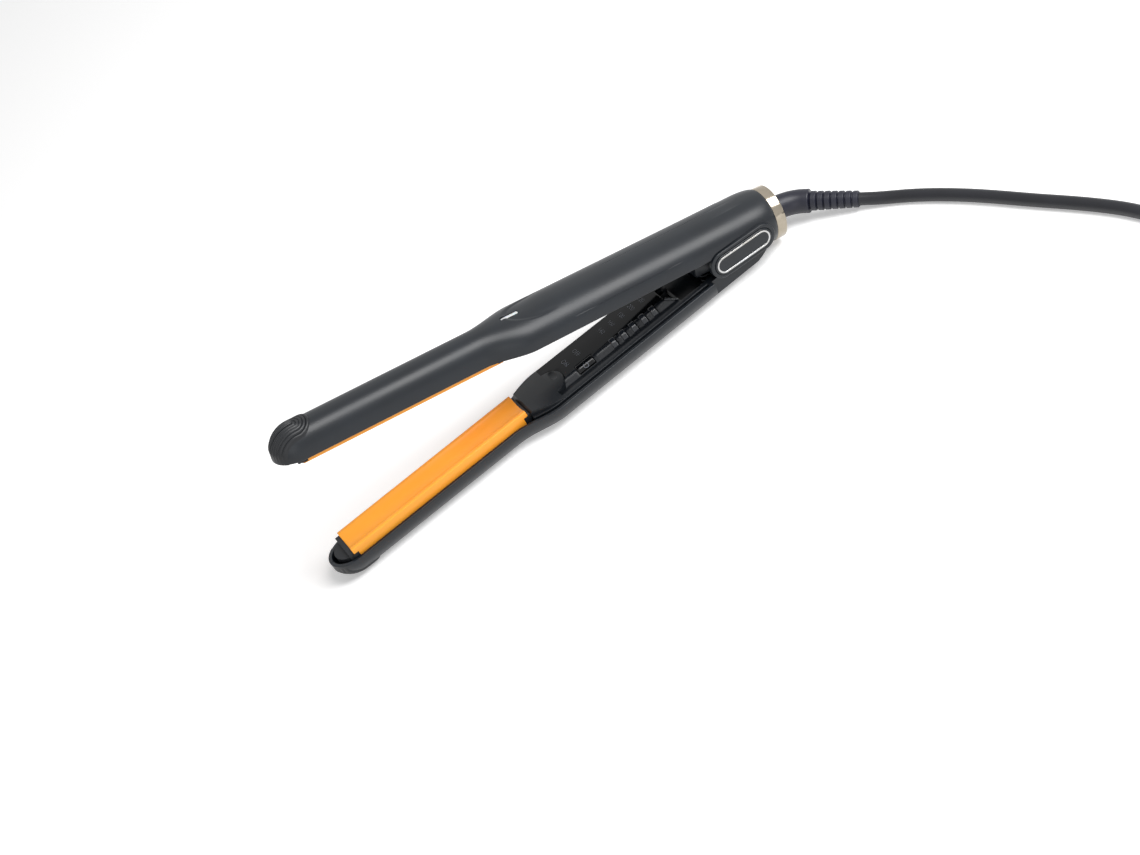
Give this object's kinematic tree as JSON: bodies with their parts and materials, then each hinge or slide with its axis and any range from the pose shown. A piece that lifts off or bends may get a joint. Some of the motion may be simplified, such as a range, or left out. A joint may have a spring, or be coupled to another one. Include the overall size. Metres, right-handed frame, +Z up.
{
  "type": "hair crimper",
  "caption": "Hand-held hair tool with two hinged arms, narrow heating plates with a groove and a matching crown, controls on the lower arm and a mains cord.",
  "frame": {"origin": "middle of the flat underside of the lower arm, on the table the tool rests on", "axes": "+X along the lower arm from the plates towards the cord, +Z up, +Y completes the right-handed frame (away from the camera)"},
  "size_m": [0.4661, 0.2685, 0.0906],
  "materials": {
    "housing": "charcoal, satin",
    "grip": "dark grey, ribbed",
    "plate": "orange coated, satin",
    "tray": "black, heat resistant",
    "heater": "off-white",
    "spring_steel": "bare",
    "cover": "charcoal, fine grain",
    "panel": "black, glossy",
    "window": "smoke grey, clear",
    "button": "black",
    "lens": "off-white, milky",
    "ring": "polished",
    "trim": "silver",
    "bronze": "sintered",
    "circuit_board": "green",
    "switch": "dark grey",
    "boot": "dark blue-grey",
    "cord": "black",
    "plug_pin": "nickel plated"
  },
  "bodies": {
    "upper_arm": {"upper_shell": "housing", "upper_tip_grip": "grip", "upper_plate": "plate", "upper_plate_tray": "tray", "upper_heater": "heater", "upper_heater_spring": "spring_steel", "upper_inner_cover": "cover", "upper_cover_screws": "spring_steel", "indicator_lens": "lens", "end_ring": "ring", "end_cap": "tray", "hinge_pins": "spring_steel", "hinge_cap_near": "housing", "hinge_cap_far": "housing", "hinge_cap_trims": "trim", "cord_boot": "boot", "power_cord": "cord", "cord_coil": "cord", "cord_tie": "cord", "plug_lead": "cord", "plug_body": "cord", "plug_pins": "plug_pin"},
    "lower_arm": {"lower_shell": "housing", "lower_tip_grip": "grip", "lower_plate": "plate", "lower_plate_tray": "tray", "lower_heater": "heater", "lower_heater_spring": "spring_steel", "hinge_bushes": "bronze", "opening_spring": "spring_steel", "inner_cover": "cover", "control_panel": "panel", "heat_windows": "window", "control_board": "circuit_board", "power_switch": "switch"},
    "power_button": {"power_button": "button"}
  },
  "joints": [
    {"name": "arm_hinge", "type": "hinge", "parent": "upper_arm", "child": "lower_arm", "pos_m": [0.0555, 0, 0.0171], "axis": [0, 1, 0], "range_deg": [0, 13.9], "stiffness_Nm_per_rad": 1.5, "springref_deg": -17.19, "deforming": ["opening_spring"]},
    {"name": "power_press", "type": "slide", "parent": "lower_arm", "child": "power_button", "axis": [0, 0, -1], "range_m": [0, 0.0006], "stiffness_N_per_m": 2000, "springref_m": -0.0005}
  ]
}
